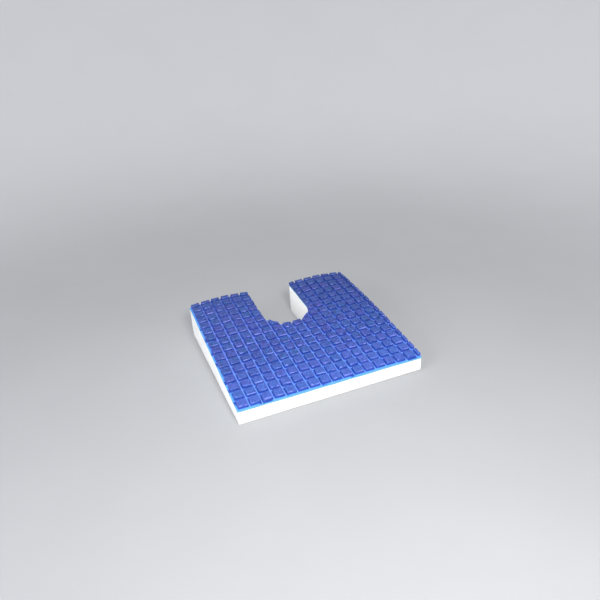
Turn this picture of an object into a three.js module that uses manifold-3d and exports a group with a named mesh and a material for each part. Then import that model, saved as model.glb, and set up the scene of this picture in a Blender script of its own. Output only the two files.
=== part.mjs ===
// Seat cushion: a foam wedge with a U-shaped tailbone relief in its back edge, and on its slope a
// gel moulding with a grid of raised square blocks, held by a carrier film and an adhesive sheet.
//
// Frame, in millimetres: +X to the sitter's right, +Y towards the backrest, +Z up. The origin is at the
// middle of the footprint, on the surface that the cushion rests on.

import * as THREE from "three";
import { mergeVertices } from "three/addons/utils/BufferGeometryUtils.js";
import Module from "manifold-3d";

// ---------------------------------------------------------------- driving dimensions

// The foam wedge.
const CUSHION_WIDTH = 432;
const CUSHION_DEPTH = 406;
const FOAM_HEIGHT_FRONT = 30;
const FOAM_HEIGHT_BACK = 79;

// The tailbone relief: a slot open at the back, with a round inner end. Its width is also the
// diameter of that end.
const RELIEF_WIDTH = 120;
const RELIEF_DEPTH = 176;
const RELIEF_ARC_STEPS = 16;

// The layers on the slope, measured square to it.
const BOND_THICKNESS = 0.4;
const FILM_THICKNESS = 0.6;
const WEB_THICKNESS = 2.6;
const LAYER_CLEARANCE = 0.3;

// The raised gel blocks. Whole blocks start at the left and front margins, and the sheet is cut
// through the ones that cross its right edge, its back edge and the relief.
const BLOCK_HEIGHT = 6.5;
const BLOCK_SIDE = 21.3;
const BLOCK_CORNER = 3;
const CHANNEL_WIDTH = 5;
const LEFT_MARGIN = 4;
const FRONT_MARGIN = 5.5;

// How far a cutting solid runs past what it cuts.
const OVERCUT = 20;

// ---------------------------------------------------------------- sizes that follow

const LEFT = -CUSHION_WIDTH / 2;
const RIGHT = CUSHION_WIDTH / 2;
const FRONT = -CUSHION_DEPTH / 2;
const BACK = CUSHION_DEPTH / 2;
const SLOPE = Math.atan2(FOAM_HEIGHT_BACK - FOAM_HEIGHT_FRONT, CUSHION_DEPTH);
const SLOPE_LENGTH = CUSHION_DEPTH / Math.cos(SLOPE);
const PITCH = BLOCK_SIDE + CHANNEL_WIDTH;

// Where each layer starts and ends, square to the slope, from the foam's top face.
const BOND_LOW = LAYER_CLEARANCE;
const BOND_HIGH = BOND_LOW + BOND_THICKNESS;
const FILM_LOW = BOND_HIGH + LAYER_CLEARANCE;
const FILM_HIGH = FILM_LOW + FILM_THICKNESS;
const WEB_LOW = FILM_HIGH + LAYER_CLEARANCE;
const WEB_HIGH = WEB_LOW + WEB_THICKNESS;
const BLOCK_TOP = WEB_HIGH + BLOCK_HEIGHT;

// Anything this high is above the whole cushion.
const CLEAR_ABOVE = FOAM_HEIGHT_BACK + BLOCK_TOP + OVERCUT;

// ---------------------------------------------------------------- solids

const wasm = await Module();
wasm.setup();

// A closed geometry as a solid that can be joined and cut.
function toSolid(geometry) {
  const bare = geometry.clone();
  for (const name of Object.keys(bare.attributes)) {
    if (name !== "position") bare.deleteAttribute(name);
  }
  const welded = mergeVertices(bare, 1e-4);
  return new wasm.Manifold(
    new wasm.Mesh({
      numProp: 3,
      vertProperties: new Float32Array(welded.attributes.position.array),
      triVerts: new Uint32Array(welded.index.array),
    }),
  );
}

function toGeometry(solid) {
  const mesh = solid.getMesh();
  const geometry = new THREE.BufferGeometry();
  geometry.setAttribute("position", new THREE.BufferAttribute(mesh.vertProperties, mesh.numProp));
  geometry.setIndex(new THREE.BufferAttribute(mesh.triVerts, 1));
  return geometry;
}

// A flat outline raised straight up from z = low to z = high.
function raised(outline, low, high) {
  const geometry = new THREE.ExtrudeGeometry(outline, { depth: high - low, bevelEnabled: false });
  return geometry.translate(0, 0, low);
}

// The footprint that every layer shares, with the relief cut into the back edge.
function footprint() {
  const radius = RELIEF_WIDTH / 2;
  const arcCentre = BACK - RELIEF_DEPTH + radius;
  const outline = new THREE.Shape();
  outline.moveTo(LEFT, FRONT);
  outline.lineTo(RIGHT, FRONT);
  outline.lineTo(RIGHT, BACK);
  outline.lineTo(radius, BACK);
  for (let i = 0; i <= RELIEF_ARC_STEPS; i += 1) {
    const angle = (-Math.PI * i) / RELIEF_ARC_STEPS;
    outline.lineTo(radius * Math.cos(angle), arcCentre + radius * Math.sin(angle));
  }
  outline.lineTo(-radius, BACK);
  outline.lineTo(LEFT, BACK);
  outline.closePath();
  return outline;
}

// The column that trims every layer to the footprint.
const trimColumn = toSolid(raised(footprint(), -OVERCUT, CLEAR_ABOVE));

// Carries a geometry from slope coordinates to the cushion's frame. In slope coordinates x is the
// frame's, y runs up the slope from the front edge, and z is square to the slope from the foam's top.
function ontoSlope(geometry) {
  return geometry.rotateX(SLOPE).translate(0, FRONT, FOAM_HEIGHT_FRONT);
}

// A layer of the slope between two heights, longer and wider than the cushion until it is trimmed.
function slopeLayer(low, high) {
  const outline = new THREE.Shape();
  outline.moveTo(LEFT - OVERCUT, -OVERCUT);
  outline.lineTo(RIGHT + OVERCUT, -OVERCUT);
  outline.lineTo(RIGHT + OVERCUT, SLOPE_LENGTH + OVERCUT);
  outline.lineTo(LEFT - OVERCUT, SLOPE_LENGTH + OVERCUT);
  outline.closePath();
  return toSolid(ontoSlope(raised(outline, low, high)));
}

// ---------------------------------------------------------------- the four pieces

// The foam is the wedge between the resting surface and the slope.
function foamBase() {
  const profile = new THREE.Shape();
  profile.moveTo(FRONT, 0);
  profile.lineTo(BACK, 0);
  profile.lineTo(BACK, FOAM_HEIGHT_BACK);
  profile.lineTo(FRONT, FOAM_HEIGHT_FRONT);
  profile.closePath();
  // The profile is drawn in y and z, so the extrusion is turned to run along x.
  const wedge = raised(profile, LEFT - OVERCUT, RIGHT + OVERCUT);
  const turn = new THREE.Matrix4().makeBasis(
    new THREE.Vector3(0, 1, 0),
    new THREE.Vector3(0, 0, 1),
    new THREE.Vector3(1, 0, 0),
  );
  return toSolid(wedge.applyMatrix4(turn)).intersect(trimColumn);
}

function bondSheet() {
  return slopeLayer(BOND_LOW, BOND_HIGH).intersect(trimColumn);
}

function carrierFilm() {
  return slopeLayer(FILM_LOW, FILM_HIGH).intersect(trimColumn);
}

// One block's outline: a square with its corners cut, with its lower left corner at (x, y).
function blockOutline(x, y) {
  const near = BLOCK_CORNER;
  const far = BLOCK_SIDE - BLOCK_CORNER;
  const outline = new THREE.Shape();
  outline.moveTo(x + near, y);
  outline.lineTo(x + far, y);
  outline.lineTo(x + BLOCK_SIDE, y + near);
  outline.lineTo(x + BLOCK_SIDE, y + far);
  outline.lineTo(x + far, y + BLOCK_SIDE);
  outline.lineTo(x + near, y + BLOCK_SIDE);
  outline.lineTo(x, y + far);
  outline.lineTo(x, y + near);
  outline.closePath();
  return outline;
}

// The gel moulding: the web, and the grid of blocks that stand on it.
function gelSheet() {
  const columns = Math.ceil((CUSHION_WIDTH - LEFT_MARGIN) / PITCH);
  const rows = Math.ceil((SLOPE_LENGTH - FRONT_MARGIN) / PITCH);
  const blocks = [];
  for (let column = 0; column < columns; column += 1) {
    for (let row = 0; row < rows; row += 1) {
      const x = LEFT + LEFT_MARGIN + column * PITCH;
      const y = FRONT_MARGIN + row * PITCH;
      const middle = WEB_LOW + WEB_THICKNESS / 2;
      const block = ontoSlope(raised(blockOutline(x, y), middle, BLOCK_TOP));
      blocks.push(toSolid(block));
    }
  }
  const web = slopeLayer(WEB_LOW, WEB_HIGH);
  return wasm.Manifold.union([web, ...blocks]).intersect(trimColumn);
}

// ---------------------------------------------------------------- the assembly

function piece(name, solid, color, roughness) {
  const material = new THREE.MeshStandardMaterial({ color, roughness, metalness: 0 });
  const mesh = new THREE.Mesh(toGeometry(solid), material);
  mesh.name = name;
  return mesh;
}

const cushion = new THREE.Group();
cushion.add(
  piece("foam_base", foamBase(), 0xf4f3ee, 0.95),
  piece("bond_sheet", bondSheet(), 0xe6e2cf, 0.6),
  piece("carrier_film", carrierFilm(), 0x4fb4ea, 0.45),
  piece("gel_sheet", gelSheet(), 0x3553c4, 0.35),
);

export default cushion;
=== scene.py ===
# %% [markdown]
# # A seat cushion of foam and gel
#
# The cushion is a wedge of white foam, higher at the back, with a round-ended slot cut into its back
# edge so that nothing presses on the tailbone. A sheet of blue gel lies on the slope. It is moulded as
# a thin web with a grid of raised square blocks, and the blocks bend apart under the sitter.
#
# Four pieces are made here, from the bottom up: the foam, the adhesive, a carrier film and the gel.
# Everything is in metres. The engineering model is loaded first, and every size comes from it.

import math
import random

import bmesh
import bpy
from mathutils import Euler, Matrix, Vector, noise


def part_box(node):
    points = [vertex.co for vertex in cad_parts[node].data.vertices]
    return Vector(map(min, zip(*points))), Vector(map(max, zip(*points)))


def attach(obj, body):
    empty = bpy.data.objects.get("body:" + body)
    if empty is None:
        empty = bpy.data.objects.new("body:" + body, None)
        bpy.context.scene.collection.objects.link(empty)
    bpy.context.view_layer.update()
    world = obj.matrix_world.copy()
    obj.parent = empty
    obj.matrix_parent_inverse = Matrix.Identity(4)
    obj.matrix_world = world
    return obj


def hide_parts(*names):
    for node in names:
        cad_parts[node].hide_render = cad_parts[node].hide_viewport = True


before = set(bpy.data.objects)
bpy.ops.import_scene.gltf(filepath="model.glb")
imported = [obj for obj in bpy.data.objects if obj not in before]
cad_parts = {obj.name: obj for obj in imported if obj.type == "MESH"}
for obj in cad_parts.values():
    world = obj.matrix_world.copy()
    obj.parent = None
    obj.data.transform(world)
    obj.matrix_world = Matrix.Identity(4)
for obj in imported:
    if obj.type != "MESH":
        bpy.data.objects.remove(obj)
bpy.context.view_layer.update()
MM = 0.001

# %% [markdown]
# ## The slope
#
# The foam's top is a plane that climbs from the front edge to the back. Most of the cushion is easier
# to think of lying flat on that plane, so a matrix carries points from "slope places" to the frame. In
# a slope place x runs across, y climbs the slope from the front edge, and z stands square to it, with
# zero on the foam. The engineering model keeps its layers 0.3 mm apart; the pieces made here close
# those gaps, as the real layers touch.

# %% Find the slope
LAYER_GAP = 0.3 * MM

foam_low, foam_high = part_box("foam_base")
front_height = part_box("bond_sheet")[0].z - LAYER_GAP
depth = foam_high.y - foam_low.y
half_width = (foam_high.x - foam_low.x) / 2
slope = math.atan2(foam_high.z - front_height, depth)
from_slope = Matrix.Translation((0, foam_low.y, front_height)) @ Matrix.Rotation(slope, 4, "X")
to_slope = from_slope.inverted()
print("slope, degrees:", round(math.degrees(slope), 2), "front height, mm:", round(front_height / MM, 1))

# %% [markdown]
# ## The camera
#
# The camera looks down on the front edge from the left, a little over a metre away and about 0.7 m above
# the surface that the cushion rests on. It hangs from an aim point near the cushion by a distance, an
# azimuth and an elevation, and it leans a few degrees, as a hand-held camera does.

# %% Set up the camera
AIM = Vector((0.0230, 0.0317, 0.1206))
DISTANCE = 1.3083
AZIMUTH = math.radians(-21.23)
ELEVATION = math.radians(26.58)
LEAN = math.radians(3.51)
LENS = 32.42

lens = bpy.data.cameras.new("camera")
lens.lens = LENS
lens.sensor_width = 36
camera = bpy.data.objects.new("camera", lens)
bpy.context.scene.collection.objects.link(camera)
back_from_aim = Vector((
    math.sin(AZIMUTH) * math.cos(ELEVATION),
    -math.cos(AZIMUTH) * math.cos(ELEVATION),
    math.sin(ELEVATION),
))
look = (-back_from_aim).to_track_quat("-Z", "Y").to_matrix().to_4x4()
lean = Matrix.Rotation(-LEAN, 4, "Z")
camera.matrix_world = Matrix.Translation(AIM + back_from_aim * DISTANCE) @ look @ lean
bpy.context.scene.camera = camera
print("camera at", [round(value, 3) for value in camera.matrix_world.translation])

# %% [markdown]
# ## How the soft stack settles
#
# A foam block never stays as flat as it was cut. It relaxes into a slight crown, its outer back corners
# droop, its sides belly out a millimetre or two, and its saw cuts wander. Cloth simulation suits fabric
# under pressure, but this foam only bends a little, so moving its points in code is enough. Every layer
# glued to the foam follows it. All of that is one function from the place where a point was cut to the
# place where it comes to lie, so that layers that touch still touch afterwards. Heights change in
# proportion to how high a point is, so the underside stays at the level that it rests on.
#
# The saw cuts' wander is read from smooth noise at two far-apart offsets, one for each direction. The
# noise module's noise_vector would be shorter, but its values change each time that Blender starts, so
# the cushion would come out a little different on every run.

# %% Describe the settling
CROWN = 3.0 * MM
CROWN_LEAN = 1.2 * MM
ARM_CROWN = 3.6 * MM
CORNER_DROOP = 3.0 * MM
BELLY = 1.4 * MM
RIPPLE = 0.8 * MM
RIPPLE_LENGTH = 70 * MM
WANDER = 0.5 * MM
WANDER_LENGTH = 45 * MM
SIDEWAYS = Vector((17.3, 5.1, 29.7))
LENGTHWAYS = Vector((41.9, 23.6, 8.2))
RELIEF_WIDTH = 120 * MM


def settle(place):
    """Where a point of the flat-cut stack comes to lie."""
    along = min(max((place.y - foam_low.y) / depth, 0), 1)
    across = place.x / half_width
    roof = front_height + (foam_high.z - front_height) * along
    share = min(max(place.z / roof, 0), 1)
    arch = math.sin(math.pi * along)
    arm_share = (abs(place.x) - RELIEF_WIDTH / 2) / (half_width - RELIEF_WIDTH / 2)
    arm = math.sin(math.pi * min(max(arm_share, 0), 1))
    droop = CORNER_DROOP * abs(across * along) ** 6
    crown = (CROWN + CROWN_LEAN * across) * arch + ARM_CROWN * arm * along * along - droop
    ripple = RIPPLE * noise.noise(Vector((place.x, place.y, 0)) / RIPPLE_LENGTH)
    spot = place / WANDER_LENGTH
    drift = Vector((noise.noise(spot + SIDEWAYS), noise.noise(spot + LENGTHWAYS), 0)) * WANDER
    belly = BELLY * across * abs(across) * arch * math.sin(math.pi * min(share, 1) * 0.75)
    lift = share * (crown + ripple)
    return place + Vector((belly + drift.x, drift.y, lift))


print("lift at the middle of the right edge, mm:",
      round((settle(Vector((half_width, 0, foam_high.z))).z - foam_high.z) / MM, 2))

# %% [markdown]
# ## The outline
#
# Every layer is cut to the same outline: a rectangle with a slot let into its back edge. It needs few
# points. One vertex spun half a turn gives the slot's round end, six more give the corners, and an
# extrusion stands the outline up as a column. Planes then slice the column: the slope's plane makes
# the wedge, and pairs of planes square to it make the thin layers.

# %% Cut columns and slabs
RELIEF_DEPTH = 176 * MM
RELIEF_STEPS = 48
OVERCUT = 20 * MM


def column(inset, low, high):
    """A closed column of the outline, drawn in by inset, from height low to height high."""
    made = bmesh.new()
    reach = RELIEF_WIDTH / 2 + inset
    middle = Vector((0, foam_high.y - RELIEF_DEPTH + RELIEF_WIDTH / 2, low))
    start = made.verts.new(middle + Vector((reach, 0, 0)))
    bmesh.ops.spin(made, geom=[start], cent=middle, axis=(0, 0, 1), angle=-math.pi, steps=RELIEF_STEPS)
    side = half_width - inset
    front = foam_low.y + inset
    back = foam_high.y - inset
    for x, y in ((-reach, back), (-side, back), (-side, front), (side, front), (side, back), (reach, back)):
        made.verts.new((x, y, low))
    face = made.faces.new(made.verts)
    raised = bmesh.ops.extrude_face_region(made, geom=[face])["geom"]
    upper = [part for part in raised if isinstance(part, bmesh.types.BMVert)]
    bmesh.ops.translate(made, verts=upper, vec=(0, 0, high - low))
    bmesh.ops.recalc_face_normals(made, faces=made.faces)
    return made


def slice_off(made, level, above):
    """Cuts a solid along a plane over the slope, takes one side away and closes the cut."""
    point = from_slope @ Vector((0, 0, level))
    normal = from_slope.to_3x3() @ Vector((0, 0, 1))
    everything = made.verts[:] + made.edges[:] + made.faces[:]
    cut = bmesh.ops.bisect_plane(
        made, geom=everything, dist=1e-7, plane_co=point, plane_no=normal,
        clear_outer=above, clear_inner=not above)
    rim = [part for part in cut["geom_cut"] if isinstance(part, bmesh.types.BMEdge)]
    bmesh.ops.contextual_create(made, geom=rim)
    bmesh.ops.recalc_face_normals(made, faces=made.faces)


def score(made, step):
    """Cuts a solid's faces along a square grid of planes, so that it can bend."""
    low = Vector(map(min, zip(*(vertex.co for vertex in made.verts))))
    high = Vector(map(max, zip(*(vertex.co for vertex in made.verts))))
    for axis in range(3):
        normal = Vector((0, 0, 0))
        normal[axis] = 1
        count = math.ceil((high[axis] - low[axis]) / step)
        for index in range(1, count):
            level = low[axis] + (high[axis] - low[axis]) * index / count
            everything = made.verts[:] + made.edges[:] + made.faces[:]
            bmesh.ops.bisect_plane(
                made, geom=everything, dist=1e-6, plane_co=normal * level, plane_no=normal)


trial = column(0, 0, foam_high.z)
print("outline column:", len(trial.verts), "vertices,", len(trial.faces), "faces")
trial.free()

# %% [markdown]
# ## From mesh to piece
#
# Each piece ends the same way. The mesh remembers where its points lay on the flat slope, in an
# attribute that the materials read, so a pattern or a colour that follows the height of the gel stays
# true after the stack has settled. Then the points settle, and edges sharper than a set angle are
# marked so that flat cuts stay crisp and rounded shoulders stay smooth.

# %% Finish a piece
SHARP_ANGLE = math.radians(40)


def finish_piece(name, made):
    """Turns a bmesh into a named piece that has settled with the stack."""
    mesh = bpy.data.meshes.new(name)
    made.to_mesh(mesh)
    made.free()
    places = mesh.attributes.new("slope_place", "FLOAT_VECTOR", "POINT")
    for vertex, mark in zip(mesh.vertices, places.data):
        mark.vector = to_slope @ vertex.co
        vertex.co = settle(vertex.co)
    mesh.shade_smooth()
    mesh.set_sharp_from_angle(angle=SHARP_ANGLE)
    piece = bpy.data.objects.new(name, mesh)
    bpy.context.scene.collection.objects.link(piece)
    print(name, "-", len(mesh.vertices), "vertices,", len(mesh.polygons), "faces")
    return piece


# %% [markdown]
# ## The foam
#
# The foam is one block of white seat foam, sawn to a wedge. Its column is sliced by the slope's plane,
# its edges are eased by a millimetre, as foam edges rub down at once, and a grid of cuts lets the
# faces bend when it settles.

# %% Make the foam
FOAM_EDGE = 1.3 * MM
FOAM_SCORE = 14 * MM
EDGE_ANGLE = math.radians(50)

foam_mesh = column(0, 0, foam_high.z + OVERCUT)
slice_off(foam_mesh, 0, above=True)
corners = [edge for edge in foam_mesh.edges if edge.calc_face_angle() > EDGE_ANGLE]
bmesh.ops.bevel(
    foam_mesh, geom=corners, offset=FOAM_EDGE, segments=3, profile=0.5, affect="EDGES", material=-1,
    offset_type="OFFSET")
score(foam_mesh, FOAM_SCORE)
foam = finish_piece("foam_wedge", foam_mesh)

# %% [markdown]
# ## The adhesive and the film
#
# A thin adhesive layer and a light blue film carry the gel. Only their cut edges show, as two fine
# lines under the gel. The adhesive stops a little short of the edge, which leaves a narrow groove with
# a shadow in it, and the film stands flush.

# %% Make the thin layers
ADHESIVE_LEVELS = (0.02 * MM, 0.85 * MM)
FILM_LEVELS = (0.87 * MM, 1.88 * MM)
ADHESIVE_INSET = 0.7 * MM
LAYER_SCORE = 14 * MM


def layer(levels, inset):
    """A thin slab of the outline between two levels over the slope."""
    made = column(inset, 0, foam_high.z + OVERCUT)
    slice_off(made, levels[1], above=True)
    slice_off(made, levels[0], above=False)
    score(made, LAYER_SCORE)
    return made


adhesive = finish_piece("adhesive_layer", layer(ADHESIVE_LEVELS, ADHESIVE_INSET))
film = finish_piece("carrier_sheet", layer(FILM_LEVELS, 0))

# %% [markdown]
# ## One block of gel
#
# The gel sheet repeats one square cell: a channel floor with a raised block in its middle. The cell's
# square has each side cut in three, which gives it twelve corners, and the block starts as a square
# whose corners are bevelled to twelve corners too, so that the two join corner to corner. The block is
# then pulled up ring by ring through a short list of heights and widths: a flared foot, a wall with a
# little draft so that it leaves its mould, a round shoulder, and a top that dips slightly in the middle.

# %% Make one cell
PITCH = 26.3 * MM
BLOCK_SIDE = 21.3 * MM
BLOCK_CORNER = 2.6 * MM
WEB_LOW = 1.9 * MM
WEB_HIGH = 4.5 * MM
BLOCK_RINGS = ((0.5, 1.0), (4.5, 0.978), (5.5, 0.955), (6.2, 0.9), (6.5, 0.82), (6.4, 0.68), (6.1, 0.4))
BLOCK_FOOT = 1.03
UP = Vector((0, 0, 1))


def cell_square(made, side, level):
    """A square face with each of its sides cut in three."""
    verts = bmesh.ops.create_grid(made, x_segments=1, y_segments=1, size=side / 2)["verts"]
    bmesh.ops.translate(made, verts=verts, vec=UP * level)
    edges = list({edge for vertex in verts for edge in vertex.link_edges})
    bmesh.ops.subdivide_edges(made, edges=edges, cuts=2)
    return max(edges[0].link_faces, key=lambda face: len(face.verts))


def block_cell():
    """One cell of the gel sheet, and the vertices of its block."""
    made = bmesh.new()
    under = cell_square(made, PITCH, WEB_LOW)
    bmesh.ops.reverse_faces(made, faces=[under])
    rim = cell_square(made, PITCH, WEB_LOW)
    rim_edges = rim.edges[:]
    made.faces.remove(rim)
    foot_reach = BLOCK_SIDE * BLOCK_FOOT / 2
    corners = bmesh.ops.create_grid(made, x_segments=1, y_segments=1, size=foot_reach)["verts"]
    bmesh.ops.translate(made, verts=corners, vec=UP * WEB_HIGH)
    bmesh.ops.bevel(
        made, geom=corners, offset=BLOCK_CORNER, segments=2, profile=0.5, affect="VERTICES", material=-1,
        offset_type="OFFSET")
    top = min(made.faces, key=lambda face: face.calc_area())
    foot_edges = top.edges[:]
    block = set(top.verts)
    width = BLOCK_FOOT
    level = 0
    for rise, share in BLOCK_RINGS:
        top = bmesh.ops.extrude_discrete_faces(made, faces=[top])["faces"][0]
        bmesh.ops.translate(made, verts=top.verts, vec=UP * (rise * MM - level))
        bmesh.ops.scale(made, verts=top.verts, vec=(share / width, share / width, 1))
        block.update(top.verts)
        width = share
        level = rise * MM
    bmesh.ops.bridge_loops(made, edges=rim_edges + foot_edges)
    rim_verts = {vertex for edge in rim_edges for vertex in edge.verts}
    bmesh.ops.translate(made, verts=list(rim_verts), vec=UP * (WEB_HIGH - WEB_LOW))
    return made, block


cell, block = block_cell()
block_faces = [face for face in cell.faces if all(vertex in block for vertex in face.verts)]
print("one cell:", len(cell.faces), "faces, of which the block has", len(block_faces))
cell.free()

# %% [markdown]
# ## The gel sheet
#
# Copies of the cell cover the slope and are welded along their borders. No two blocks of a moulded gel
# are alike: each leans, turns, swells or slumps a little, which is what breaks up the light on the
# sheet, so each copy's block is nudged by seeded random amounts before it is placed.

# %% Nudge a block
TILT = math.radians(1.6)
TURN = math.radians(1.8)
SHIFT = 0.45 * MM
SWELL = 0.025
SLUMP = 0.07
SEED = 7


def nudge(made, verts, luck):
    """Leans, turns, stretches and shifts one block on its foot."""
    foot = Vector((0, 0, WEB_HIGH))
    size = Vector([1 + luck.uniform(-spread, spread) for spread in (SWELL, SWELL, SLUMP)])
    lean = Euler((luck.gauss(0, TILT), luck.gauss(0, TILT), luck.gauss(0, TURN))).to_matrix()
    about = Matrix.Translation(-foot)
    bmesh.ops.scale(made, verts=verts, vec=size, space=about)
    bmesh.ops.rotate(made, verts=verts, cent=foot, matrix=lean)
    step = (luck.uniform(-SHIFT, SHIFT), luck.uniform(-SHIFT, SHIFT), 0)
    bmesh.ops.translate(made, verts=verts, vec=step)


trial, trial_block = block_cell()
nudge(trial, list(trial_block), random.Random(SEED))
print("a nudged block's highest point, mm over the foam:", round(max(v.co.z for v in trial.verts) / MM, 2))
trial.free()

# %% [markdown]
# The cells are laid out in rows from the left and front margins, and welded where they meet. An Array
# modifier would do that in one step, but all its blocks would be alike. The margins are pulled out past
# the outline, and a skirt closes the sheet all round, because a Boolean needs a closed solid.

# %% Lay the grid
LEFT_MARGIN = 4.0 * MM
FRONT_MARGIN = 5.5 * MM
WELD = 0.01 * MM
BORDER_BAND = 0.1 * MM


def gel_grid():
    """All the cells, welded into one closed sheet that is larger than the cushion."""
    sheet = bmesh.new()
    scratch = bpy.data.meshes.new("scratch")
    luck = random.Random(SEED)
    border = (PITCH - BLOCK_SIDE) / 2
    first_x = -half_width + LEFT_MARGIN - border
    first_y = FRONT_MARGIN - border
    columns = math.ceil((2 * half_width - LEFT_MARGIN + border) / PITCH)
    rows = math.ceil((depth / math.cos(slope) - FRONT_MARGIN + border) / PITCH) + 1
    for row in range(rows):
        for index in range(columns):
            made, block = block_cell()
            nudge(made, list(block), luck)
            place = Vector((first_x + (index + 0.5) * PITCH, first_y + (row + 0.5) * PITCH, 0))
            bmesh.ops.translate(made, verts=made.verts, vec=place)
            made.to_mesh(scratch)
            made.free()
            sheet.from_mesh(scratch)
    bpy.data.meshes.remove(scratch)
    bmesh.ops.remove_doubles(sheet, verts=sheet.verts, dist=WELD)
    for vertex in sheet.verts:
        if vertex.co.x < first_x + BORDER_BAND:
            vertex.co.x -= OVERCUT
        if vertex.co.y < first_y + BORDER_BAND:
            vertex.co.y -= OVERCUT
    halfway = (WEB_LOW + WEB_HIGH) / 2
    rim = [edge for edge in sheet.edges if edge.is_boundary and edge.verts[0].co.z > halfway]
    skirt = bmesh.ops.extrude_edge_only(sheet, edges=rim)["geom"]
    hem = [part for part in skirt if isinstance(part, bmesh.types.BMVert)]
    bmesh.ops.translate(sheet, verts=hem, vec=(0, 0, WEB_LOW - WEB_HIGH))
    bmesh.ops.remove_doubles(sheet, verts=sheet.verts, dist=WELD)
    bmesh.ops.recalc_face_normals(sheet, faces=sheet.faces)
    bmesh.ops.transform(sheet, matrix=from_slope, verts=sheet.verts)
    open_edges = sum(not edge.is_manifold for edge in sheet.edges)
    print("gel grid:", columns, "by", rows, "cells, open edges:", open_edges)
    return sheet


gel_stock = gel_grid()
print("grid before the trim:", len(gel_stock.faces), "faces")

# %% [markdown]
# The sheet is made too large and trimmed to the outline by a Boolean, as the real one is die cut, so that
# the blocks at the right edge, the back edge and the slot are cut through. Leaving out the blocks that
# cross the outline would be simpler, but the real sheet has no such empty border.

# %% Trim the gel sheet
def trimmed(made):
    """The bmesh cut to the cushion's outline by a Boolean with a column of that outline."""
    stock_mesh = bpy.data.meshes.new("stock")
    made.to_mesh(stock_mesh)
    cutter_mesh = bpy.data.meshes.new("cutter")
    cutter_column = column(0, 0, foam_high.z + 2 * OVERCUT)
    cutter_column.to_mesh(cutter_mesh)
    cutter_column.free()
    stock = bpy.data.objects.new("stock", stock_mesh)
    cutter = bpy.data.objects.new("cutter", cutter_mesh)
    for thing in (stock, cutter):
        bpy.context.scene.collection.objects.link(thing)
    cut = stock.modifiers.new("trim", "BOOLEAN")
    cut.operation = "INTERSECT"
    cut.solver = "EXACT"
    cut.object = cutter
    graph = bpy.context.evaluated_depsgraph_get()
    result = bpy.data.meshes.new_from_object(stock.evaluated_get(graph))
    made.clear()
    made.from_mesh(result)
    for thing in (stock, cutter):
        bpy.data.objects.remove(thing)
    print("open edges after the trim:", sum(not edge.is_manifold for edge in made.edges))
    return made


gel = finish_piece("gel_blocks", trimmed(gel_stock))

# %% [markdown]
# ## Shared shader pieces
#
# A few helpers keep the materials short. One adds a node and wires or sets its inputs; others mix
# colours and fade a value between two limits. The nodes could be placed by hand in the editor, but then
# none of their values could be read or changed here.

# %% Shader helpers
def paint(code):
    """A colour written as on a paint card, six hex digits, as the shader's light values."""
    parts = [int(code[index:index + 2], 16) / 255 for index in (0, 2, 4)]
    return (*(((part + 0.055) / 1.055) ** 2.4 if part > 0.04 else part / 12.92 for part in parts), 1)


def node(tree, kind, inputs=None, **settings):
    """Adds a shader node, makes its settings, and links or sets its inputs."""
    made = tree.nodes.new("ShaderNode" + kind)
    for name, value in settings.items():
        setattr(made, name, value)
    for name, value in (inputs or {}).items():
        if isinstance(value, bpy.types.NodeSocket):
            tree.links.new(value, made.inputs[name])
        else:
            made.inputs[name].default_value = value
    return made


def mix(tree, factor, low, high, blend="MIX"):
    """Mixes two colours by a factor."""
    return node(tree, "Mix", {0: factor, 6: low, 7: high}, data_type="RGBA", blend_type=blend).outputs[2]


def fade(tree, value, start, end, low=0, high=1):
    """Turns a value between start and end into one that runs smoothly from low to high."""
    inputs = {"Value": value, "From Min": start, "From Max": end, "To Min": low, "To Max": high}
    return node(tree, "MapRange", inputs, interpolation_type="SMOOTHSTEP").outputs[0]


def math_node(tree, operation, first, second=0.0):
    """One arithmetic step on values."""
    return node(tree, "Math", {0: first, 1: second}, operation=operation).outputs[0]


def times(tree, first, second):
    """The product of two values."""
    return math_node(tree, "MULTIPLY", first, second)


def plus(tree, first, second):
    """The sum of two values."""
    return math_node(tree, "ADD", first, second)


def noise_value(tree, vector, scale, detail=2.0, rough=0.5):
    """A soft random value at each place, from 0 to 1."""
    inputs = {"Vector": vector, "Scale": scale, "Detail": detail, "Roughness": rough}
    return node(tree, "TexNoise", inputs).outputs[0]


print("a paint card's white:", [round(value, 3) for value in paint("ffffff")])

# %% [markdown]
# A node group is a small tree with named sockets that can be placed in many materials. These helpers make
# an empty group, place one, start a material, and read the slope place that each mesh carries.

# %% Group and material helpers
def new_group(name, inputs, outputs):
    """An empty shader node group with named inputs and outputs."""
    group = bpy.data.node_groups.new(name, "ShaderNodeTree")
    for socket, kind in inputs:
        group.interface.new_socket(name=socket, in_out="INPUT", socket_type=kind)
    for socket, kind in outputs:
        group.interface.new_socket(name=socket, in_out="OUTPUT", socket_type=kind)
    entry = group.nodes.new("NodeGroupInput")
    leave = group.nodes.new("NodeGroupOutput")
    return group, entry, leave


def use_group(tree, group, inputs):
    """Places a node group and wires or sets its inputs."""
    made = tree.nodes.new("ShaderNodeGroup")
    made.node_tree = group
    for name, value in inputs.items():
        if isinstance(value, bpy.types.NodeSocket):
            tree.links.new(value, made.inputs[name])
        else:
            made.inputs[name].default_value = value
    return made


def new_material(name):
    """An empty node material with its output and its main shader."""
    material = bpy.data.materials.new(name)
    material.use_nodes = True
    tree = material.node_tree
    tree.nodes.clear()
    output = tree.nodes.new("ShaderNodeOutputMaterial")
    shader = tree.nodes.new("ShaderNodeBsdfPrincipled")
    tree.links.new(shader.outputs[0], output.inputs["Surface"])
    return material, tree, shader


def wear(piece, material):
    """Gives a piece its finish."""
    piece.data.materials.append(material)
    print(piece.name, "wears", material.name, "-", len(material.node_tree.nodes), "nodes")


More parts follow.
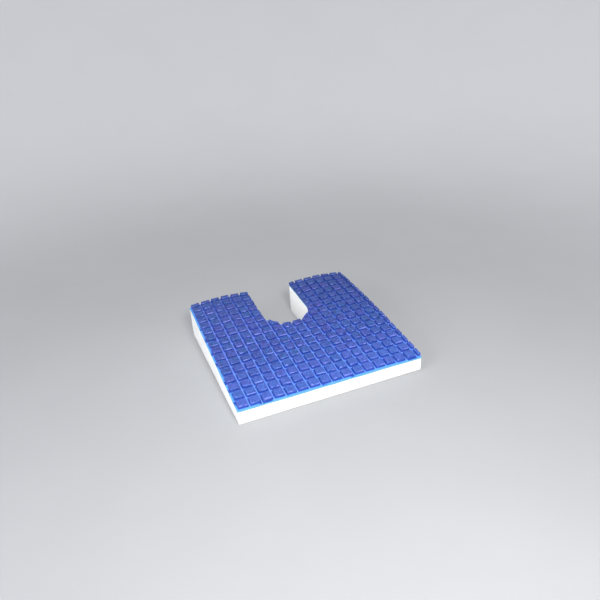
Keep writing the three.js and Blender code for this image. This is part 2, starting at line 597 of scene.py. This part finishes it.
def slope_place(tree):
    """Where the point lay on the flat slope: the whole place, then across, along and height."""
    reader = node(tree, "Attribute", attribute_type="GEOMETRY", attribute_name="slope_place")
    mark = reader.outputs["Vector"]
    parts = node(tree, "SeparateXYZ", {0: mark}).outputs
    return mark, parts[0], parts[1], parts[2]


# %% [markdown]
# Two effects serve several materials, so each is a node group: a fine surface grain, and a slow mottling
# that stands for handling and dust. Built once, they are placed with a scale that suits each material.

# %% Build the shared groups
PLACE_AND_SCALE = [("Place", "NodeSocketVector"), ("Scale", "NodeSocketFloat")]


def build_grain():
    """Two sizes of noise added together: a surface's fine tooth."""
    group, entry, leave = new_group(
        "fine grain", PLACE_AND_SCALE, [("Height", "NodeSocketFloat")])
    coarse = noise_value(group, entry.outputs["Place"], entry.outputs["Scale"], 2.0, 0.55)
    finer = times(group, entry.outputs["Scale"], 3.7)
    fine = noise_value(group, entry.outputs["Place"], finer, 1.0, 0.5)
    group.links.new(plus(group, coarse, times(group, fine, 0.45)), leave.inputs["Height"])
    return group


def build_mottle():
    """Slow patches from 0 to 1, from one noise with several octaves."""
    group, entry, leave = new_group(
        "mottle", PLACE_AND_SCALE, [("Mask", "NodeSocketFloat")])
    slow = noise_value(group, entry.outputs["Place"], entry.outputs["Scale"], 4.0, 0.6)
    group.links.new(fade(group, slow, 0.34, 0.66), leave.inputs["Mask"])
    return group


grain = build_grain()
mottle = build_mottle()
print("shared groups:", grain.name, "and", mottle.name)

# %% [markdown]
# ## The foam's finish
#
# Cut foam is a honeycomb of open bubbles about a millimetre across. From a distance it is a soft white,
# and close up it is full of tiny mouths. Round cells from a Voronoi texture give the mouths, shaped by
# bump and by painted shade that darkens each mouth, and a coarser Voronoi texture scatters larger voids,
# which are painted darker inside as shade too. Wide faint patches and the drag lines of the saw keep the
# big faces from looking like plastic.

# %% Foam material
def foam_finish():
    """White open-cell foam, sawn and a little mottled."""
    material, tree, shader = new_material("white seat foam")
    place = slope_place(tree)[0]

    # Small cells, each mouth painted slightly darker as shade, and here and there a bigger void that was
    # cut open, with painted shade inside.
    cells = node(tree, "TexVoronoi", {"Vector": place, "Scale": 900.0}).outputs["Distance"]
    mouths = fade(tree, cells, 0.1, 0.4)
    voids = node(tree, "TexVoronoi", {"Vector": place, "Scale": 380.0})
    open_void = fade(tree, node(tree, "SeparateColor", {0: voids.outputs["Color"]}).outputs[0], 0.55, 0.7)
    pit = times(tree, fade(tree, voids.outputs["Distance"], 0.3, 0.12), open_void)

    # Faint patches, and the drag lines that the saw leaves along its cut.
    patches = use_group(tree, mottle, {"Place": place, "Scale": 22.0}).outputs["Mask"]
    long_and_thin = (30.0, 30.0, 520.0)
    stretched = node(tree, "VectorMath", {0: place, 1: long_and_thin}, operation="MULTIPLY").outputs[0]
    drag = noise_value(tree, stretched, 1.0, 2.0, 0.5)
    teeth = use_group(tree, grain, {"Place": place, "Scale": 420.0}).outputs["Height"]
    base = mix(tree, patches, paint("f6f6f3"), paint("fdfdfc"))
    # Painted shade: the pore mouths and the cut-open voids are darkened where light doesn't reach into
    # them.
    base = mix(tree, mouths, paint("e9e8e4"), base)
    base = mix(tree, times(tree, pit, 0.35), base, paint("cfcdc8"))
    tree.links.new(base, shader.inputs["Base Color"])
    tree.links.new(fade(tree, patches, 0, 1, 0.84, 0.96), shader.inputs["Roughness"])
    relief = plus(tree, mouths, times(tree, teeth, 0.8))
    relief = plus(tree, relief, times(tree, drag, 1.1))
    relief = plus(tree, relief, times(tree, pit, -1.6))
    bump = node(tree, "Bump", {"Height": relief, "Strength": 0.7, "Distance": 0.3 * MM}).outputs[0]
    tree.links.new(bump, shader.inputs["Normal"])
    shader.inputs["Specular IOR Level"].default_value = 0.2
    shader.inputs["Sheen Weight"].default_value = 0.15
    return material


wear(foam, foam_finish())

# %% [markdown]
# ## The adhesive and film finishes
#
# The adhesive dries to a milky, faintly yellow line. The film is a light blue plastic, and it is never
# quite smooth: slow creases run through it. Both are seen only as thin edges, so a two-colour mottle and
# a little bump are enough for each.

# %% Thin layer materials
def adhesive_finish():
    """Dried adhesive, milky and faintly yellow."""
    material, tree, shader = new_material("milky adhesive")
    place = slope_place(tree)[0]
    patches = use_group(tree, mottle, {"Place": place, "Scale": 90.0}).outputs["Mask"]
    tree.links.new(mix(tree, patches, paint("dfdccb"), paint("f2efe2")), shader.inputs["Base Color"])
    tree.links.new(fade(tree, patches, 0, 1, 0.35, 0.6), shader.inputs["Roughness"])
    teeth = use_group(tree, grain, {"Place": place, "Scale": 300.0}).outputs["Height"]
    bump = node(tree, "Bump", {"Height": teeth, "Strength": 0.4, "Distance": 0.3 * MM}).outputs[0]
    tree.links.new(bump, shader.inputs["Normal"])
    return material


def film_finish():
    """A light blue plastic film with slow creases."""
    material, tree, shader = new_material("pale blue film")
    place = slope_place(tree)[0]
    patches = use_group(tree, mottle, {"Place": place, "Scale": 60.0}).outputs["Mask"]
    tree.links.new(mix(tree, patches, paint("5aa8d2"), paint("74b8dc")), shader.inputs["Base Color"])
    tree.links.new(fade(tree, patches, 0, 1, 0.3, 0.5), shader.inputs["Roughness"])
    creases = noise_value(tree, place, 180.0, 3.0, 0.6)
    bump = node(tree, "Bump", {"Height": creases, "Strength": 0.4, "Distance": 0.4 * MM}).outputs[0]
    tree.links.new(bump, shader.inputs["Normal"])
    shader.inputs["Coat Weight"].default_value = 0.2
    return material


wear(adhesive, adhesive_finish())
wear(film, film_finish())

# %% [markdown]
# ## The gel's finish
#
# The colour of gel is a matter of thickness. Where it is thin, light comes back up through it from the
# white foam, so the web and the channel floors are light blue and the cut edge is nearly cyan. The
# blocks are deep, so their tops are a royal blue that leans to violet, and their feet are painted dark
# blue as shade in the grooves between them.
# Glass-like volume shading could do this, but it is slow and doesn't export, so the height mark stands in
# for the thickness. First a few nodes find which cell a point is in and how far it is from a channel.

# %% Find a point's cell
BORDER = (PITCH - BLOCK_SIDE) / 2


def cell_marks(tree, across, along):
    """The cell's two numbers, how far up it the point is, and how far from a channel's middle."""
    numbers = []
    offsets = []
    for value, margin in ((across, LEFT_MARGIN - half_width), (along, FRONT_MARGIN)):
        count = math_node(tree, "DIVIDE", plus(tree, value, BORDER - margin), PITCH)
        count = math_node(tree, "MAXIMUM", count, 0.0)
        numbers.append(math_node(tree, "FLOOR", count))
        up_cell = math_node(tree, "FRACT", count)
        offsets.append(math_node(tree, "ABSOLUTE", plus(tree, up_cell, -0.5)))
    off_channel = math_node(tree, "SUBTRACT", 0.5, math_node(tree, "MAXIMUM", *offsets))
    return numbers, up_cell, off_channel


print("half a channel, as a share of a cell:", round(BORDER / PITCH, 3))

# %% [markdown]
# From the web up to a block's wall, the colour is chosen by height. A channel's floor is brightest along
# its middle line and is painted darker towards the blocks' feet, as shade between the blocks, and the
# margin along the front and left edges is brighter still. The channels are painted paler towards the
# front, and the whole sheet is painted darker towards its back right corner, as painted light that
# falls off away from the front.

# %% Colour the thin gel
SHADE_SLANT_TO_THE_RIGHT = 0.35
CUT_EDGE = (WEB_HIGH - 1.1 * MM, WEB_HIGH - 0.6 * MM)
WALL_FOOT = (WEB_HIGH + 0.05 * MM, WEB_HIGH + 0.4 * MM)
EDGE_GLOW = (5 * MM, 1 * MM)


def thin_gel(tree, across, along, height, far, off_channel):
    """The colour of the web, the channels' floors and the blocks' feet."""
    # Painted light: the channels are a paler blue at the front and a darker violet blue further back,
    # darker still towards the back right, where the light falls off.
    lit = mix(tree, fade(tree, along, 0.0, 0.25), paint("6b9af0"), paint("748ae4"))
    lit = mix(tree, fade(tree, far, 0.2, 0.42), lit, paint("4a62ba"))
    # Painted shade: each channel's floor darkens from its middle line towards the blocks' feet.
    floor = mix(tree, fade(tree, off_channel, 0.01, 0.08), lit, paint("2f57b8"))
    from_edge = math_node(tree, "MINIMUM", along, plus(tree, across, half_width))
    floor = mix(tree, fade(tree, from_edge, *EDGE_GLOW), floor, paint("559fe8"))
    web = mix(tree, fade(tree, height, *CUT_EDGE), paint("6cb4da"), floor)
    # Painted shade: the blocks' feet are dark blue, as the grooves between the blocks shade them.
    return mix(tree, fade(tree, height, *WALL_FOOT), web, paint("2142a0"))


print("the cut edge's colour ends, mm below the web's top:", round((WEB_HIGH - CUT_EDGE[1]) / MM, 2))

# %% [markdown]
# No two blocks have quite the same colour. A white noise gives each cell its own tint between a cool blue
# and a warmer violet blue, a mottle clouds it, and fine flecks break it up. The tops are painted paler
# towards the front edge as painted light, and a painted highlight runs pale along the shoulders, most of
# all at the front. A few bubbles are trapped under the skin.

# %% Colour the blocks' tops
BLOCK_TOP_FADE = (WEB_HIGH + 1.0 * MM, WEB_HIGH + 3.8 * MM)
SHOULDER_RISE = (WEB_HIGH + 4.4 * MM, WEB_HIGH + 5.4 * MM)
SIDE_HIGHLIGHT = (4.2 * MM / PITCH, 3.4 * MM / PITCH)
FRONT_HIGHLIGHT = ((BORDER + 1.7 * MM) / PITCH, (BORDER + 0.9 * MM) / PITCH)


def block_top(tree, place, along, numbers):
    """The colour of the blocks' tops, and the tint from 0 to 1 that chose it."""
    number = node(tree, "CombineXYZ", {0: numbers[0], 1: numbers[1], 2: 0.5}).outputs[0]
    chance = node(tree, "TexWhiteNoise", {"Vector": number}, noise_dimensions="3D").outputs["Value"]
    clouds = use_group(tree, mottle, {"Place": place, "Scale": 110.0}).outputs["Mask"]
    tint = plus(tree, times(tree, chance, 0.45), times(tree, clouds, 0.55))
    flecks = fade(tree, noise_value(tree, place, 230.0, 4.0, 0.65), 0.32, 0.68)
    cool = mix(tree, flecks, paint("10306c"), paint("2c62ac"))
    warm = mix(tree, flecks, paint("262a74"), paint("4a50ac"))
    top = mix(tree, tint, cool, warm)
    # Painted light: the tops are painted paler towards the front edge, where the light is strongest.
    top = mix(tree, fade(tree, along, 0.16, 0.0, 0.0, 0.26), top, paint("5078e0"))
    return top, tint


def painted_shoulder_highlight(tree, place, height, up_cell, off_channel):
    """Where a pale highlight is painted along the shoulders, from 0 to 1."""
    raised = fade(tree, height, *SHOULDER_RISE)
    sides = fade(tree, off_channel, *SIDE_HIGHLIGHT)
    front = fade(tree, up_cell, *FRONT_HIGHLIGHT)
    highlight_share = plus(tree, times(tree, sides, 0.2), times(tree, front, 0.45))
    broken = fade(tree, noise_value(tree, place, 75.0, 3.0, 0.6), 0.42, 0.6)
    return times(tree, times(tree, highlight_share, raised), broken)


def trapped_bubbles(tree, place):
    """Where a bubble shows, from 0 to 1."""
    bubbles = node(tree, "TexVoronoi", {"Vector": place, "Scale": 260.0, "Randomness": 1.0})
    rare = fade(tree, node(tree, "SeparateColor", {0: bubbles.outputs["Color"]}).outputs[0], 0.86, 0.9)
    return times(tree, fade(tree, bubbles.outputs["Distance"], 0.16, 0.08), rare)


print("a top takes over its wall's colour, mm over the web:", round((BLOCK_TOP_FADE[1] - WEB_HIGH) / MM, 1))

# %% [markdown]
# The shader puts the colours together. Gel is soft and a little cloudy, so some light scatters just under
# its skin. The skin itself is satin, with a faint coat, fine teeth and slow creases.

# %% Gel material
def gel_finish():
    """Blue gel, coloured by its depth."""
    material, tree, shader = new_material("blue gel")
    place, across, along, height = slope_place(tree)
    numbers, up_cell, off_channel = cell_marks(tree, across, along)
    far = plus(tree, along, times(tree, across, SHADE_SLANT_TO_THE_RIGHT))
    thin = thin_gel(tree, across, along, height, far, off_channel)
    top, tint = block_top(tree, place, along, numbers)
    colour = mix(tree, fade(tree, height, *BLOCK_TOP_FADE), thin, top)
    shoulder_highlight = painted_shoulder_highlight(tree, place, height, up_cell, off_channel)
    # Painted highlight: a pale violet line along the blocks' shoulders, strongest at the front.
    colour = mix(tree, shoulder_highlight, colour, paint("8f98f0"))
    speck = trapped_bubbles(tree, place)
    colour = mix(tree, times(tree, speck, 0.35), colour, paint("9db9ff"))
    # Painted shade: the whole sheet darkens towards its back right corner, where the light falls off.
    colour = mix(tree, fade(tree, far, 0.18, 0.44, 0.0, 0.28), colour, paint("14225a"))
    tree.links.new(colour, shader.inputs["Base Color"])

    teeth = use_group(tree, grain, {"Place": place, "Scale": 520.0}).outputs["Height"]
    creases = noise_value(tree, place, 170.0, 4.0, 0.6)
    relief = plus(tree, times(tree, teeth, 0.25), creases)
    bump = node(tree, "Bump", {"Height": relief, "Strength": 0.6, "Distance": 0.9 * MM}).outputs[0]
    tree.links.new(bump, shader.inputs["Normal"])
    tree.links.new(fade(tree, tint, 0, 1, 0.38, 0.52), shader.inputs["Roughness"])
    shader.inputs["Subsurface Weight"].default_value = 0.15
    shader.inputs["Subsurface Radius"].default_value = (0.2, 0.5, 1.0)
    shader.inputs["Subsurface Scale"].default_value = 2 * MM
    shader.inputs["Specular IOR Level"].default_value = 0.35
    shader.inputs["Coat Weight"].default_value = 0.1
    shader.inputs["Coat Roughness"].default_value = 0.2
    return material


wear(gel, gel_finish())

# %% [markdown]
# ## The floor
#
# The cushion lies on a pale floor that curves up into a wall all round, so that no edge shows behind it
# from any side. A flat plane would show a horizon, so the bowl is one profile line spun a full turn. Away
# from the cushion its surface also glows faintly, because lamps aimed at the cushion leave the walls dim.

# %% Make the floor
FLOOR_RADIUS = 1.3
WALL_RADIUS = 3.2
WALL_HEIGHT = 2.4
FLOOR_DROP = 0.2 * MM

bowl = bmesh.new()
hub = bowl.verts.new((0, 0, -FLOOR_DROP))
bend = bowl.verts.new((FLOOR_RADIUS, 0, -FLOOR_DROP))
rise = WALL_RADIUS - FLOOR_RADIUS
bmesh.ops.spin(
    bowl, geom=[bend], cent=(FLOOR_RADIUS, 0, rise - FLOOR_DROP), axis=(0, 1, 0),
    angle=-math.pi / 2, steps=12)
rim = max(bowl.verts, key=lambda vertex: vertex.co.z)
top = bowl.verts.new((WALL_RADIUS, 0, WALL_HEIGHT))
bowl.edges.new((hub, bend))
bowl.edges.new((rim, top))
bmesh.ops.spin(
    bowl, geom=bowl.verts[:] + bowl.edges[:], cent=(0, 0, 0), axis=(0, 0, 1), angle=2 * math.pi, steps=96,
    use_merge=True)
bmesh.ops.remove_doubles(bowl, verts=bowl.verts, dist=WELD)
bmesh.ops.recalc_face_normals(bowl, faces=bowl.faces)
bmesh.ops.reverse_faces(bowl, faces=bowl.faces)
bowl_mesh = bpy.data.meshes.new("backdrop")
bowl.to_mesh(bowl_mesh)
bowl.free()
bowl_mesh.shade_smooth()
backdrop = bpy.data.objects.new("backdrop", bowl_mesh)
bpy.context.scene.collection.objects.link(backdrop)
print("floor and wall:", len(bowl_mesh.polygons), "faces, out to", WALL_RADIUS, "m")

# %% [markdown]
# The floor is a plain grey with a mottle so faint that it only keeps the tone from looking printed. The
# glow starts beyond the cushion and grows towards the walls, so that it doesn't light the floor nearby.

# %% Floor material
floor_material, floor_tree, floor_shader = new_material("pale floor")
floor_place = node(floor_tree, "TexCoord").outputs["Object"]
floor_patches = use_group(floor_tree, mottle, {"Place": floor_place, "Scale": 3.0}).outputs["Mask"]
floor_colour = mix(floor_tree, floor_patches, paint("a5a6a8"), paint("a7a8aa"))
floor_tree.links.new(floor_colour, floor_shader.inputs["Base Color"])
floor_reach = node(floor_tree, "VectorMath", {0: floor_place}, operation="LENGTH").outputs["Value"]
glow = mix(floor_tree, fade(floor_tree, floor_reach, 0.3, 2.6), (0, 0, 0, 1), paint("f4f6fa"))
floor_tree.links.new(glow, floor_shader.inputs["Emission Color"])
floor_shader.inputs["Emission Strength"].default_value = 0.32
floor_shader.inputs["Roughness"].default_value = 0.7
wear(backdrop, floor_material)

# %% [markdown]
# ## The lamps
#
# A small lamp in front of the cushion does the work of a flash: it picks out the blocks' front shoulders.
# A narrow beam from the left fills the foam's side, a large soft lamp hangs overhead, and a pale sky does
# the rest. Small lamps give sharp highlights, and large ones soft shadows.

# %% Hang the lamps
def lamp(name, place, aim, size, spread, power, colour):
    """A square soft lamp that faces a point, with its beam's spread in degrees, and isn't seen itself."""
    light = bpy.data.lights.new(name, "AREA")
    light.size = size
    light.spread = math.radians(spread)
    light.energy = power
    light.color = colour
    made = bpy.data.objects.new(name, light)
    made.location = place
    made.rotation_euler = (Vector(aim) - Vector(place)).to_track_quat("-Z", "Y").to_euler()
    made.visible_camera = False
    bpy.context.scene.collection.objects.link(made)
    return made


key = lamp("key lamp", (-0.15, -1.1, 0.95), (0, -0.1, 0.05), 0.3, 180, 15, (1.0, 0.99, 0.98))
fill = lamp("fill lamp", (-1.7, -0.7, 0.8), (0, 0, 0.05), 1.0, 70, 3.5, (0.95, 0.97, 1.0))
overhead = lamp("overhead lamp", (0.0, 0.2, 2.3), (0, 0.2, 0), 1.6, 180, 12, (1.0, 1.0, 1.0))

sky = bpy.data.worlds.new("sky")
sky.use_nodes = True
sky.node_tree.nodes["Background"].inputs["Color"].default_value = paint("f4f6fa")
sky.node_tree.nodes["Background"].inputs["Strength"].default_value = 0.7
bpy.context.scene.world = sky
bpy.context.scene.view_settings.view_transform = "Standard"
print("lamps:", [thing.name for thing in (key, fill, overhead)])

# %% [markdown]
# ## Hand the pieces to the frame
# ## Attach the pieces
#
# Each piece hangs from the root body, and the engineering part that it replaces is hidden.

pieces = (
    (foam, "foam_base", "foam"),
    (adhesive, "bond_sheet", "adhesive"),
    (film, "carrier_film", "film"),
    (gel, "gel_sheet", "gel"),
)
for piece, cad_node, finish in pieces:
    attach(piece, "root")
    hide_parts(cad_node)
